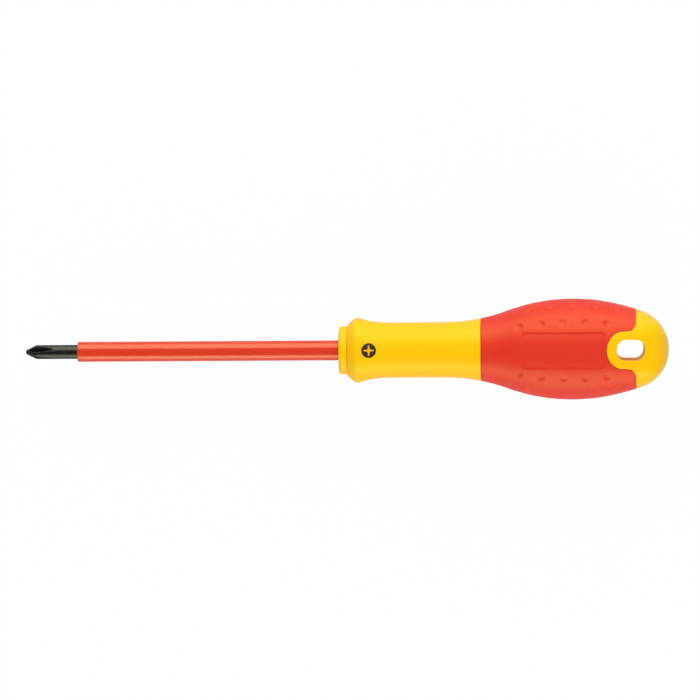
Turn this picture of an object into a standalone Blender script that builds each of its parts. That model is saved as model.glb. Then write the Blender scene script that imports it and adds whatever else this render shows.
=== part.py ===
"""Insulated cross-tip screwdriver: steel blade, insulating sleeve and a three-shot moulded handle.

+X runs from the tip to the butt, with the origin on the tip's flat end. +Z comes out of the
handle's face. Places on the handle are measured from its front face, which is BLADE_REACH
behind the tip.
"""

import math

import bmesh
import bpy
from mathutils import Matrix

MM = 0.001
QUARTER_TURN = math.radians(90)

# Clearance left between pieces that are moulded on each other
FIT_GAP = 0.3 * MM

# Blade
BLADE_REACH = 100 * MM
SHANK_DIAMETER = 4.5 * MM
TIP_FLAT = 1.2 * MM
TIP_CONE_ANGLE = math.radians(26.5)
FLUTE_LENGTH = 9 * MM
FLUTE_ROOT = 0.55 * MM
FLUTE_TURN = math.radians(24)
FLUTE_COUNT = 4
TANG_DEPTH = 66 * MM
TANG_CHAMFER = 0.6 * MM
EAR_PLACE = 50 * MM
EAR_LENGTH = 9 * MM
EAR_WIDTH = 8 * MM
EAR_THICKNESS = 2.4 * MM

# Insulating sleeve on the blade
BARE_TIP = 16.4 * MM
SLEEVE_DIAMETER = 6.4 * MM
SLEEVE_DEPTH = 25 * MM
SLEEVE_EDGE = 0.4 * MM

# Inner core: nose ring and hexagonal stem
NOSE_DIAMETER = 15.5 * MM
NOSE_LENGTH = 3 * MM
NOSE_EDGE = 1.2 * MM
CORE_FLATS = 11 * MM
CORE_DEPTH = 76 * MM

# Handle outline: guard, waist, belly and butt
HANDLE_LENGTH = 105.8 * MM
GUARD_DIAMETER = 20.6 * MM
GUARD_PLACE = 6.2 * MM
GUARD_CREST = 2 * MM
GUARD_FACE_ANGLE = math.radians(44)
GUARD_COVE = 30 * MM
WAIST_DIAMETER = 17.5 * MM
NECK_SWEEP = 54 * MM
BELLY_SWEEP = 60 * MM
BELLY_TO_BUTT = 30.8 * MM
BELLY_PLACE = HANDLE_LENGTH - BELLY_TO_BUTT
BELLY_WIDTH = 31.8 * MM
BELLY_THICKNESS = 31.4 * MM
FACE_SWEEP = 80 * MM
BUTT_RADIUS = 12.8 * MM
BUTT_EDGE = 5 * MM
BUTT_EDGE_POWER = 2.4
SQUARING_LENGTH = 22 * MM
BUTT_SQUARENESS = 3.6

# Hanging slot and the tongue of hard plastic round it
SLOT_TO_BUTT = 11.9 * MM
SLOT_PLACE = HANDLE_LENGTH - SLOT_TO_BUTT
SLOT_LENGTH = 9.5 * MM
SLOT_WIDTH = 6.9 * MM
TONGUE_RIM = 2.7 * MM
TONGUE_FILLET = 2.4 * MM

# Soft grip
GRIP_TO_BUTT = 10.4 * MM
GRIP_LENGTH = 49.7 * MM
GRIP_REAR = HANDLE_LENGTH - GRIP_TO_BUTT
GRIP_FRONT = GRIP_REAR - GRIP_LENGTH
GRIP_PROUD = 0.2 * MM
GRIP_LIP = 1.5 * MM
GRIP_WALL = 2.4 * MM
GRIP_RAMP = 12 * MM
PANEL_LENGTH = 25.8 * MM
PANEL_WIDTH = 11.2 * MM
PANEL_CORNER = 1 * MM
PANEL_DEPTH = 0.45 * MM
PANEL_WEB = 1.3 * MM

# Fineness of the round shapes
BAR_SIDES = 32
HANDLE_SIDES = 40
ARC_STEPS = 6
CURVE_STEPS = 8
# Odd, so that no corner of a round end lies on the handle's middle line, where the lofts have an edge
ROUND_END_STEPS = 13
SHARP_ANGLE = math.radians(35)
MERGE_DISTANCE = 0.01 * MM

# Cutters reach this far past what they cut
OVERSHOOT = 5 * MM


def clear_scene():
    for thing in list(bpy.data.objects):
        bpy.data.objects.remove(thing)


def new_collection(name):
    collection = bpy.data.collections.new(name)
    bpy.context.scene.collection.children.link(collection)
    return collection


def plain_material(name, colour, roughness, metallic=0.0):
    material = bpy.data.materials.new(name)
    material.use_nodes = True
    shader = material.node_tree.nodes["Principled BSDF"]
    shader.inputs["Base Color"].default_value = (*colour, 1.0)
    shader.inputs["Roughness"].default_value = roughness
    shader.inputs["Metallic"].default_value = metallic
    return material


def make_part(thing, material, collection):
    """Keep an object as a piece of the tool."""
    place_in(thing, collection)
    thing.data.materials.append(material)


def make_cutter(thing, collection):
    """Keep an object only as the operand of a Boolean."""
    place_in(thing, collection)
    thing.hide_render = True
    thing.display_type = "WIRE"


def place_in(thing, collection):
    for other in list(thing.users_collection):
        other.objects.unlink(thing)
    collection.objects.link(thing)


def boolean(thing, other, operation):
    modifier = thing.modifiers.new(f"{operation.lower()} {other.name}", "BOOLEAN")
    modifier.operation = operation
    modifier.object = other


def object_from_bmesh(name, mesh_data):
    mesh = bpy.data.meshes.new(name)
    mesh_data.to_mesh(mesh)
    mesh_data.free()
    thing = bpy.data.objects.new(name, mesh)
    bpy.context.scene.collection.objects.link(thing)
    return thing


def arc(centre, radius, start, end, steps=ARC_STEPS):
    """Points on an arc from one angle to another, both ends included."""
    points = []
    for i in range(steps + 1):
        angle = start + (end - start) * i / steps
        points.append((centre[0] + radius * math.cos(angle), centre[1] + radius * math.sin(angle)))
    return points


def turned(name, profile, closed=False, steps=BAR_SIDES):
    """A profile of (place along X, radius) points turned about the tool's axis."""
    mesh_data = bmesh.new()
    verts = [mesh_data.verts.new((along, radius, 0)) for along, radius in profile]
    for first, second in zip(verts, verts[1:]):
        mesh_data.edges.new((first, second))
    if closed:
        mesh_data.edges.new((verts[-1], verts[0]))
    thing = object_from_bmesh(name, mesh_data)
    screw = thing.modifiers.new("turn", "SCREW")
    screw.axis = "X"
    screw.steps = steps
    screw.render_steps = steps
    screw.use_merge_vertices = True
    screw.merge_threshold = MERGE_DISTANCE
    screw.use_smooth_shade = True
    return thing


def bar(name, diameter, start, end, sides=BAR_SIDES):
    """A round or many-sided bar along the tool's axis."""
    bpy.ops.mesh.primitive_cylinder_add(
        vertices=sides,
        radius=diameter / 2,
        depth=end - start,
        location=((start + end) / 2, 0, 0),
        rotation=(0, QUARTER_TURN, 0),
    )
    thing = bpy.context.object
    thing.name = name
    return thing


def hexagonal_bar(name, flats, start, end):
    return bar(name, flats / math.cos(QUARTER_TURN / 3), start, end, sides=6)


def block(name, start, end, width, thickness):
    """A box along the tool's axis."""
    bpy.ops.mesh.primitive_cube_add(size=1, location=((start + end) / 2, 0, 0))
    thing = bpy.context.object
    thing.name = name
    thing.data.transform(Matrix.Diagonal((end - start, width, thickness, 1)))
    return thing


def prism(name, outline, half_height):
    """A flat outline in the XY plane, extruded both ways along Z and made a mesh."""
    curve = bpy.data.curves.new(name, "CURVE")
    curve.dimensions = "2D"
    curve.fill_mode = "BOTH"
    curve.extrude = half_height
    spline = curve.splines.new("POLY")
    spline.points.add(len(outline) - 1)
    for point, (x, y) in zip(spline.points, outline):
        point.co = (x, y, 0, 1)
    spline.use_cyclic_u = True
    guide = bpy.data.objects.new(name, curve)
    bpy.context.scene.collection.objects.link(guide)
    evaluated = guide.evaluated_get(bpy.context.evaluated_depsgraph_get())
    mesh = bpy.data.meshes.new_from_object(evaluated)
    placed = guide.matrix_world.copy()
    bpy.data.objects.remove(guide)
    mesh_data = bmesh.new()
    mesh_data.from_mesh(mesh)
    bpy.data.meshes.remove(mesh)
    bmesh.ops.remove_doubles(mesh_data, verts=mesh_data.verts, dist=MERGE_DISTANCE)
    bmesh.ops.recalc_face_normals(mesh_data, faces=mesh_data.faces)
    thing = object_from_bmesh(name, mesh_data)
    thing.matrix_world = placed
    return thing


def on_handle(place):
    """World X of a place measured from the handle's front face."""
    return BLADE_REACH + place


def sweep_run(low_radius, high_radius, rise):
    """Length of an S-shaped sweep of two tangent arcs, level at both ends."""
    both = low_radius + high_radius
    return math.sqrt(both**2 - (both - rise) ** 2)


def sweep_height(along, low_radius, high_radius, rise):
    """Height of that sweep above its low end."""
    run = sweep_run(low_radius, high_radius, rise)
    if along < run * low_radius / (low_radius + high_radius):
        return low_radius - math.sqrt(low_radius**2 - along**2)
    return rise - high_radius + math.sqrt(high_radius**2 - (run - along) ** 2)


def guard_radius(place):
    """Front of the handle: sloping face, round crest, and the cove down to the waist."""
    crest_radius = GUARD_DIAMETER / 2
    face_place = GUARD_PLACE - GUARD_CREST * math.sin(GUARD_FACE_ANGLE)
    if place < face_place:
        face_radius = crest_radius - GUARD_CREST * (1 - math.cos(GUARD_FACE_ANGLE))
        return face_radius - (face_place - place) * math.tan(GUARD_FACE_ANGLE)
    if place < GUARD_PLACE:
        return crest_radius - GUARD_CREST + math.sqrt(GUARD_CREST**2 - (GUARD_PLACE - place) ** 2)
    rise = crest_radius - WAIST_DIAMETER / 2
    along = GUARD_PLACE + sweep_run(GUARD_COVE, GUARD_CREST, rise) - place
    return WAIST_DIAMETER / 2 + sweep_height(max(along, 0), GUARD_COVE, GUARD_CREST, rise)


def neck_half(place, belly_half):
    """Waist and the long sweep up to the belly."""
    rise = belly_half - WAIST_DIAMETER / 2
    along = place - BELLY_PLACE + sweep_run(NECK_SWEEP, BELLY_SWEEP, rise)
    return WAIST_DIAMETER / 2 + sweep_height(max(along, 0), NECK_SWEEP, BELLY_SWEEP, rise)


def cove_end():
    return GUARD_PLACE + sweep_run(GUARD_COVE, GUARD_CREST, (GUARD_DIAMETER - WAIST_DIAMETER) / 2)


def neck_start():
    rise = (BELLY_WIDTH - WAIST_DIAMETER) / 2
    return BELLY_PLACE - sweep_run(NECK_SWEEP, BELLY_SWEEP, rise)


def butt_centre():
    return HANDLE_LENGTH - BUTT_RADIUS


def flank_sweep():
    """Radius of the arc that leaves the belly level and meets the round butt tangentially."""
    belly_half = BELLY_WIDTH / 2
    run = butt_centre() - BELLY_PLACE
    return (run**2 + belly_half**2 - BUTT_RADIUS**2) / (2 * (belly_half - BUTT_RADIUS))


def butt_start():
    """Where the flank's arc passes into the round butt."""
    sweep = flank_sweep()
    return BELLY_PLACE + (butt_centre() - BELLY_PLACE) * sweep / (sweep - BUTT_RADIUS)


def half_width(place):
    """Half of the handle's width, seen on its face."""
    if place < cove_end():
        return guard_radius(place)
    if place < BELLY_PLACE:
        return neck_half(place, BELLY_WIDTH / 2)
    if place < butt_start():
        sweep = flank_sweep()
        return BELLY_WIDTH / 2 - sweep + math.sqrt(sweep**2 - (place - BELLY_PLACE) ** 2)
    return math.sqrt(max(BUTT_RADIUS**2 - (place - butt_centre()) ** 2, 0))


def half_thickness(place):
    """Half of the handle's thickness, seen from its side."""
    if place < cove_end():
        return guard_radius(place)
    if place < BELLY_PLACE:
        return neck_half(place, BELLY_THICKNESS / 2)
    face = BELLY_THICKNESS / 2 - FACE_SWEEP + math.sqrt(FACE_SWEEP**2 - (place - BELLY_PLACE) ** 2)
    into_edge = max(place - HANDLE_LENGTH + BUTT_EDGE, 0) / BUTT_EDGE
    return face * (1 - min(into_edge, 1) ** BUTT_EDGE_POWER) ** (1 / BUTT_EDGE_POWER)


def squareness(place):
    """Power of the section's outline: 2 is an ellipse, more is squarer."""
    into_butt = max(place - HANDLE_LENGTH + SQUARING_LENGTH, 0) / SQUARING_LENGTH
    return 2 + (BUTT_SQUARENESS - 2) * into_butt**2


def grip_wall(place):
    """Thickness of the soft grip, thinner at its front lip."""
    share = min(max((place - GRIP_FRONT) / GRIP_RAMP, 0), 1)
    return GRIP_LIP + (GRIP_WALL - GRIP_LIP) * share


def spread(start, end, steps):
    """Evenly spaced places, without the last."""
    return [start + (end - start) * i / steps for i in range(steps)]


def handle_places():
    """Stations along the whole handle, closest together where it curves most."""
    face_place = GUARD_PLACE - GUARD_CREST * math.sin(GUARD_FACE_ANGLE)
    places = [NOSE_LENGTH + FIT_GAP]
    places += spread(face_place, GUARD_PLACE, ARC_STEPS // 2)
    places += spread(GUARD_PLACE, cove_end(), CURVE_STEPS)
    places += spread(cove_end(), neck_start(), 1)
    places += spread(neck_start(), BELLY_PLACE, 2 * CURVE_STEPS)
    places += spread(BELLY_PLACE, butt_centre(), CURVE_STEPS)
    for angle in spread(0, QUARTER_TURN, 2 * ARC_STEPS):
        places.append(butt_centre() + BUTT_RADIUS * math.sin(angle))
    return places


def grip_places(steps):
    """Stations along the grip, running past both of its ends."""
    return spread(GRIP_FRONT - OVERSHOOT, GRIP_REAR + OVERSHOOT, steps)


def signed_power(value, power):
    return math.copysign(abs(value) ** power, value)


def section_ring(mesh_data, place, outset):
    """One cross-section of the handle, moved out by outset all round."""
    power = 2 / squareness(place)
    ring = []
    for i in range(HANDLE_SIDES):
        angle = 2 * math.pi * i / HANDLE_SIDES
        y = (half_width(place) + outset) * signed_power(math.cos(angle), power)
        z = (half_thickness(place) + outset) * signed_power(math.sin(angle), power)
        ring.append(mesh_data.verts.new((on_handle(place), y, z)))
    return ring


def handle_loft(name, places, outset, round_end):
    """A solid lofted through sections of the handle; outset is a function of the place."""
    mesh_data = bmesh.new()
    rings = [section_ring(mesh_data, place, outset(place)) for place in places]
    for near, far in zip(rings, rings[1:]):
        for i in range(HANDLE_SIDES):
            j = (i + 1) % HANDLE_SIDES
            mesh_data.faces.new((near[i], near[j], far[j], far[i]))
    mesh_data.faces.new(rings[0])
    if round_end:
        pole = mesh_data.verts.new((on_handle(HANDLE_LENGTH + outset(HANDLE_LENGTH)), 0, 0))
        for i in range(HANDLE_SIDES):
            mesh_data.faces.new((rings[-1][i], rings[-1][(i + 1) % HANDLE_SIDES], pole))
    else:
        mesh_data.faces.new(rings[-1])
    bmesh.ops.recalc_face_normals(mesh_data, faces=mesh_data.faces)
    thing = object_from_bmesh(name, mesh_data)
    thing.data.shade_smooth()
    thing.data.set_sharp_from_angle(angle=SHARP_ANGLE)
    return thing


def tongue_radius():
    return SLOT_WIDTH / 2 + TONGUE_RIM


def tongue_centre():
    """The tongue's round end shares its centre with the slot's front end."""
    return SLOT_PLACE - (SLOT_LENGTH - SLOT_WIDTH) / 2


def grip_outline(clearance):
    """Plan of the grip, drawn in by clearance: straight front, and a rear edge round the tongue."""
    front = on_handle(GRIP_FRONT + clearance)
    rear = on_handle(GRIP_REAR - clearance)
    side = BELLY_WIDTH / 2 + OVERSHOOT
    notch = tongue_radius() + clearance
    fillet = TONGUE_FILLET - clearance
    corner = (rear - fillet, notch + fillet)
    lower = [(front, -side), (rear, -side)]
    lower += arc((corner[0], -corner[1]), fillet, 0, QUARTER_TURN)
    upper = arc(corner, fillet, -QUARTER_TURN, 0)
    upper += [(rear, side), (front, side)]
    round_end = arc((on_handle(tongue_centre()), 0), notch, -QUARTER_TURN, -3 * QUARTER_TURN, ROUND_END_STEPS)
    return lower + round_end + upper


def slot_outline():
    """Plan of the hanging slot, with round ends."""
    radius = SLOT_WIDTH / 2
    reach = (SLOT_LENGTH - SLOT_WIDTH) / 2
    points = arc((on_handle(SLOT_PLACE + reach), 0), radius, -QUARTER_TURN, QUARTER_TURN, ROUND_END_STEPS)
    points += arc((on_handle(SLOT_PLACE - reach), 0), radius, QUARTER_TURN, 3 * QUARTER_TURN, ROUND_END_STEPS)
    return points


def panel_outline():
    """Plan of the recessed panel, which ends one web before the tongue."""
    end = on_handle(tongue_centre() - tongue_radius() - PANEL_WEB)
    start = end - PANEL_LENGTH
    side = PANEL_WIDTH / 2 - PANEL_CORNER
    corners = [
        (end - PANEL_CORNER, side),
        (start + PANEL_CORNER, side),
        (start + PANEL_CORNER, -side),
        (end - PANEL_CORNER, -side),
    ]
    points = []
    for i, corner in enumerate(corners):
        points += arc(corner, PANEL_CORNER, i * QUARTER_TURN, (i + 1) * QUARTER_TURN, ARC_STEPS // 2)
    return points


def flute_cutters(collection):
    """Square bars whose lower edge climbs from the tip's core out to the shank's surface."""
    side = SHANK_DIAMETER
    climb = math.atan2(SHANK_DIAMETER / 2 - FLUTE_ROOT, FLUTE_LENGTH)
    cutters = []
    for i in range(FLUTE_COUNT):
        cutter = block(f"flute_{i + 1}", -OVERSHOOT, FLUTE_LENGTH + OVERSHOOT, side, side)
        turn = Matrix.Rotation(math.pi * 2 * i / FLUTE_COUNT - FLUTE_TURN, 4, "X")
        root = Matrix.Translation((0, 0, FLUTE_ROOT)) @ Matrix.Rotation(-climb, 4, "Y")
        raised = Matrix.Translation((0, 0, side / math.sqrt(2)))
        on_edge = raised @ Matrix.Rotation(QUARTER_TURN / 2, 4, "X")
        cutter.matrix_world = turn @ root @ on_edge @ cutter.matrix_basis
        make_cutter(cutter, collection)
        cutters.append(cutter)
    return cutters


def build_blade(parts, cutters):
    radius = SHANK_DIAMETER / 2
    cone_length = (radius - TIP_FLAT / 2) / math.tan(TIP_CONE_ANGLE)
    end = on_handle(TANG_DEPTH)
    profile = [
        (0, 0),
        (0, TIP_FLAT / 2),
        (cone_length, radius),
        (end - TANG_CHAMFER, radius),
        (end, radius - TANG_CHAMFER),
        (end, 0),
    ]
    blade = turned("blade", profile)
    ears_end = on_handle(EAR_PLACE + EAR_LENGTH)
    ears = block("tang_ears", on_handle(EAR_PLACE), ears_end, EAR_WIDTH, EAR_THICKNESS)
    make_cutter(ears, cutters)
    boolean(blade, ears, "UNION")
    for cutter in flute_cutters(cutters):
        boolean(blade, cutter, "DIFFERENCE")
    make_part(blade, plain_material("dark_steel", (0.03, 0.03, 0.028), 0.38, 0.9), parts)


def build_sleeve(parts):
    outer = SLEEVE_DIAMETER / 2
    inner = SHANK_DIAMETER / 2 + FIT_GAP
    end = on_handle(SLEEVE_DEPTH)
    edge_centre = (BARE_TIP + SLEEVE_EDGE, outer - SLEEVE_EDGE)
    profile = [(end, inner), (end, outer)]
    profile += arc(edge_centre, SLEEVE_EDGE, QUARTER_TURN, 2 * QUARTER_TURN, ARC_STEPS // 2)
    profile += [(BARE_TIP, inner)]
    sleeve = turned("blade_sleeve", profile, closed=True)
    make_part(sleeve, plain_material("red_insulation", (0.62, 0.045, 0.022), 0.35), parts)


def build_inner_core(parts, cutters):
    radius = NOSE_DIAMETER / 2
    edge_centre = (on_handle(NOSE_EDGE), radius - NOSE_EDGE)
    profile = [(on_handle(0), 0)]
    profile += arc(edge_centre, NOSE_EDGE, 2 * QUARTER_TURN, QUARTER_TURN)
    profile += [(on_handle(NOSE_LENGTH), radius), (on_handle(NOSE_LENGTH), 0)]
    core = turned("inner_core", profile, steps=HANDLE_SIDES)
    stem = hexagonal_bar("core_stem", CORE_FLATS, on_handle(NOSE_LENGTH / 2), on_handle(CORE_DEPTH))
    sleeve_bore = bar(
        "sleeve_bore",
        SLEEVE_DIAMETER + 2 * FIT_GAP,
        on_handle(-OVERSHOOT),
        on_handle(SLEEVE_DEPTH + FIT_GAP),
    )
    shank_bore = bar(
        "shank_bore",
        SHANK_DIAMETER + 2 * FIT_GAP,
        on_handle(SLEEVE_DEPTH - OVERSHOOT),
        on_handle(TANG_DEPTH + FIT_GAP),
    )
    ear_pocket = block(
        "ear_pocket",
        on_handle(EAR_PLACE - FIT_GAP),
        on_handle(EAR_PLACE + EAR_LENGTH + FIT_GAP),
        EAR_WIDTH + 2 * FIT_GAP,
        EAR_THICKNESS + 2 * FIT_GAP,
    )
    for operand in (stem, sleeve_bore, shank_bore, ear_pocket):
        make_cutter(operand, cutters)
    boolean(core, stem, "UNION")
    for cutter in (sleeve_bore, shank_bore, ear_pocket):
        boolean(core, cutter, "DIFFERENCE")
    make_part(core, plain_material("pale_yellow", (0.9, 0.56, 0.03), 0.4), parts)


def build_handle_shell(parts, cutters):
    shell = handle_loft("handle_shell", handle_places(), lambda place: 0, round_end=True)
    barrel_places = grip_places(2 * CURVE_STEPS)
    barrel = handle_loft("barrel", barrel_places, lambda place: -grip_wall(place), round_end=False)
    bed = prism("grip_bed", grip_outline(0), BELLY_THICKNESS)
    boolean(bed, barrel, "DIFFERENCE")
    socket = hexagonal_bar(
        "core_socket",
        CORE_FLATS + 2 * FIT_GAP,
        on_handle(NOSE_LENGTH - OVERSHOOT),
        on_handle(CORE_DEPTH + FIT_GAP),
    )
    slot = prism("hanging_slot", slot_outline(), BELLY_THICKNESS)
    for cutter in (barrel, bed, socket, slot):
        make_cutter(cutter, cutters)
    for cutter in (bed, socket, slot):
        boolean(shell, cutter, "DIFFERENCE")
    make_part(shell, plain_material("yellow_plastic", (0.95, 0.53, 0.005), 0.4), parts)


def build_soft_grip(parts, cutters):
    fine = grip_places(3 * CURVE_STEPS)
    coarse = grip_places(2 * CURVE_STEPS)
    grip = handle_loft("soft_grip", fine, lambda place: GRIP_PROUD, round_end=False)
    plan = prism("grip_plan", grip_outline(FIT_GAP), BELLY_THICKNESS)
    bore = handle_loft("grip_bore", coarse, lambda place: FIT_GAP - grip_wall(place), round_end=False)
    floor = handle_loft("panel_floor", fine, lambda place: GRIP_PROUD - PANEL_DEPTH, round_end=False)
    panels = prism("panels", panel_outline(), BELLY_THICKNESS)
    boolean(panels, floor, "DIFFERENCE")
    for cutter in (plan, bore, floor, panels):
        make_cutter(cutter, cutters)
    boolean(grip, plan, "INTERSECT")
    boolean(grip, bore, "DIFFERENCE")
    boolean(grip, panels, "DIFFERENCE")
    make_part(grip, plain_material("red_elastomer", (0.68, 0.05, 0.025), 0.55), parts)


def main():
    clear_scene()
    parts = new_collection("insulated_screwdriver")
    cutters = new_collection("cutters")
    build_blade(parts, cutters)
    build_sleeve(parts)
    build_inner_core(parts, cutters)
    build_handle_shell(parts, cutters)
    build_soft_grip(parts, cutters)


main()
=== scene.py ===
import math

import bmesh
import bpy
import numpy as np
from mathutils import Matrix, Vector


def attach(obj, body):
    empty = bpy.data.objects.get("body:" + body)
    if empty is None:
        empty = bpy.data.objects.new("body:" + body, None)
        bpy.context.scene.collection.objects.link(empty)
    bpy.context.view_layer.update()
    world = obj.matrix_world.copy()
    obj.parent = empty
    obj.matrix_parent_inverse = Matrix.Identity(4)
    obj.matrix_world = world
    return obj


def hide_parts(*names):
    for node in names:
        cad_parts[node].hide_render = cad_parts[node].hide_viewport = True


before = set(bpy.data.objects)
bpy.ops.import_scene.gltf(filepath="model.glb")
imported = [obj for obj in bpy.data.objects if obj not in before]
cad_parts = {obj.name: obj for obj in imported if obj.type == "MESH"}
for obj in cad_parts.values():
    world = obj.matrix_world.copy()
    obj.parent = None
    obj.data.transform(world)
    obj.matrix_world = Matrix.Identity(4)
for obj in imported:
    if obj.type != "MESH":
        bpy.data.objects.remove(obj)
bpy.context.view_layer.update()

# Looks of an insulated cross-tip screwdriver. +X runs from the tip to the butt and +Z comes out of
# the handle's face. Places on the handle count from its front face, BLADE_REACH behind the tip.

MM = 0.001
QUARTER_TURN = math.radians(90)
MERGE_DISTANCE = 0.0002 * MM
SHARP_ANGLE = math.radians(40)
FLUTE_SHARP_ANGLE = math.radians(30)

# Blade and its sleeve
BLADE_REACH = 100 * MM
SHANK_RADIUS = 2.25 * MM
TIP_FLAT_RADIUS = 0.6 * MM
TIP_CONE_ANGLE = math.radians(26.5)
TIP_EDGE = 0.12 * MM
FLUTE_LENGTH = 9.1 * MM
FLUTE_ROOT = 0.55 * MM
FLUTE_CLIMB = math.radians(5.75)
FLUTE_STRAIGHT = 4.5 * MM
FLUTE_EDGE = 0.05 * MM
# Width of the highlight painted along the wings' edges near the tip
FLUTE_GLINT = 0.09 * MM
FLUTE_TURN = math.radians(26.5)
FLUTE_COUNT = 4
FLUTE_MARGIN = 1.1
TANG_DEPTH = 66 * MM
TANG_CHAMFER = 0.6 * MM
EAR_PLACE = 50 * MM
EAR_SIZE = (9 * MM, 8 * MM, 2.4 * MM)
BARE_TIP = 16.6 * MM
SLEEVE_RADIUS = 3.2 * MM
SLEEVE_DEPTH = 25 * MM
SLEEVE_EDGE = 0.45 * MM
SLEEVE_MOUTH = 0.15 * MM

# Inner core with its nose ring
NOSE_RADIUS = 7.75 * MM
NOSE_FRONT = 0.45 * MM
NOSE_BACK = 3.25 * MM
NOSE_EDGE = 1.2 * MM
NOSE_BACK_EDGE = 0.2 * MM
CORE_HALF_FLATS = 5.5 * MM
CORE_DEPTH = 76 * MM

# Handle outline
HANDLE_LENGTH = 105.8 * MM
SHELL_FRONT = 3.3 * MM
SHELL_FRONT_EDGE = 0.25 * MM
SHELL_EDGE_SHARE = 0.8
GUARD_RADIUS = 10.38 * MM
GUARD_PLACE = 6.45 * MM
GUARD_CREST = 2 * MM
GUARD_FACE_ANGLE = math.radians(40)
GUARD_COVE = 30 * MM
WAIST_RADIUS = 8.83 * MM
NECK_SWEEP = 54 * MM
BELLY_SWEEP = 60 * MM
BELLY_PLACE = 75 * MM
BELLY_HALF_WIDTH = 15.9 * MM
BELLY_HALF_THICKNESS = 15.7 * MM
FACE_SWEEP = 80 * MM
BUTT_RADIUS = 12.8 * MM
BUTT_CENTRE = HANDLE_LENGTH - BUTT_RADIUS
BUTT_EDGE = 5 * MM
BUTT_EDGE_POWER = 2.4
SQUARING_LENGTH = 22 * MM
BUTT_SQUARENESS = 3.6

# Hanging slot and the tongue of hard plastic round it
SLOT_FRONT = 88.95 * MM
SLOT_REAR = 97.95 * MM
SLOT_HALF_WIDTH = 3.3 * MM
SLOT_END = 3.1 * MM
SLOT_END_POWER = 2.2
SLOT_RIM = 0.25 * MM
TONGUE_FRONT = 85.82 * MM
TONGUE_END = 5.3 * MM
TONGUE_HALF_WIDTH = 5.95 * MM
TONGUE_FILLET = 3 * MM

# Soft grip
GRIP_FRONT = 45.8 * MM
GRIP_REAR = 95.4 * MM
GRIP_PROUD = 0.04 * MM
SWELL = 0.17 * MM
SWELL_START = 28 * MM
SWELL_FALL = 82 * MM
SWELL_END = 93 * MM
GRIP_LIP = 1.5 * MM
GRIP_WALL = 2.4 * MM
GRIP_RAMP = 12 * MM
GRIP_EDGE = 0.35 * MM
SEAM_GAP = 0.08 * MM
PANEL_START = 58.82 * MM
PANEL_END = 85.3 * MM
PANEL_HALF_WIDTH = 5.6 * MM
PANEL_CORNER = 1.4 * MM
PANEL_DEPTH = 0.28 * MM
PANEL_WALL = 0.75 * MM

# Dimples of the grip: angles are from the middle of the face, places are of each row's first dimple
DIMPLE_DIAMETER = 3.5 * MM
DIMPLE_DEPTH = 0.43 * MM
DIMPLE_PITCH = 7 * MM
DIMPLES_IN_ROW = 5
INNER_ROW = 58.05 * MM
OUTER_ROW = 61.05 * MM
DIMPLE_ROWS = (
    (34, INNER_ROW),
    (58.5, OUTER_ROW),
    (90, INNER_ROW),
    (121.5, OUTER_ROW),
    (146, INNER_ROW),
)

# Printed drive mark on the neck
MARK_PLACE = 10.25 * MM
MARK_SIDE = 0.25 * MM
MARK_RADIUS = 2.35 * MM
MARK_ARM = 1.65 * MM
MARK_ARM_TIP = 0.16 * MM
MARK_ARM_ROOT = 0.34 * MM
MARK_LIFT = 0.02 * MM

# Fineness of the skins: counts and steps of their columns and rows
TONGUE_COLUMNS = 20
FILLET_COLUMNS = 10
SIDE_COLUMNS = 56
BUTT_COLUMNS = 44
TURN_SIDES = 128
BLADE_SIDES = 192
CORE_SIDES = 144
SLEEVE_EDGE_STEPS = 8
NOSE_EDGE_STEPS = 14
FINE_EDGE_STEPS = 4
CONE_STEPS = 36
FLUTE_FIRST_ROW = 0.05 * MM
FLUTE_ROW_STEP = 0.09 * MM
FLUTE_ROWS_END = 1.2 * FLUTE_LENGTH
GRIP_END_ROWS = np.array([0, 0.02, 0.05, 0.1, 0.16, 0.24, 0.34, 0.46]) * MM
GRIP_ROWS_START = GRIP_FRONT + 1 * MM
GRIP_ROW_STEP = 0.5 * MM
PANEL_ROWS_START = 56 * MM
PANEL_ROW_STEP = 0.27 * MM
GRIP_REAR_STEPS = 36
BED_ROWS = 12
FRONT_EDGE_ROWS = 5
NECK_STEPS = (5, 13, 8, 24, 8, 20)
CREST_FINE_RUN = 0.8 * MM
NECK_LIP = 0.15 * MM
NECK_LIP_ROWS = np.array([0.06, 0.02, 0.0001]) * MM
NECK_LIP_DROPS = np.array([0.02, 0.06, 0.14]) * MM
SLOT_RIM_ROWS = 8
SLOT_WALL_STEPS = 5
BUTT_STEPS = 40
MARK_SIDE_STEPS = 8
MARK_ROWS = 7

# Colours, each between two close ones, and the tints of the plastics' gloss
HANDLE_YELLOW = ((0.93, 0.498, 0.001), (0.95, 0.528, 0.002))
NOSE_YELLOW = ((0.93, 0.515, 0.002), (0.95, 0.545, 0.004))
GRIP_RED = ((0.67, 0.022, 0.012), (0.73, 0.028, 0.015))
SLEEVE_RED = ((0.655, 0.028, 0.01), (0.7, 0.036, 0.013))
STEEL_BLACK = ((0.04, 0.037, 0.031), (0.09, 0.085, 0.072))
# Pale colour painted along the wings' edges near the tip: a painted highlight for the glints of light on
# them
STEEL_GLINT = (0.34, 0.33, 0.3, 1)
INK_BROWN = ((0.028, 0.013, 0.004), (0.045, 0.022, 0.008))
SLEEVE_GLOSS = (1, 0.8, 0.4, 1)
GRIP_GLOSS = (1, 0.65, 0.25, 1)
YELLOW_GLOSS = (1, 0.85, 0.2, 1)

# Depths of the fine grain in each finish
PLASTIC_GRAIN = 0.008 * MM
ELASTOMER_GRAIN = 0.03 * MM
SLEEVE_LINES = 0.004 * MM
STEEL_GRAIN = 0.006 * MM

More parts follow.
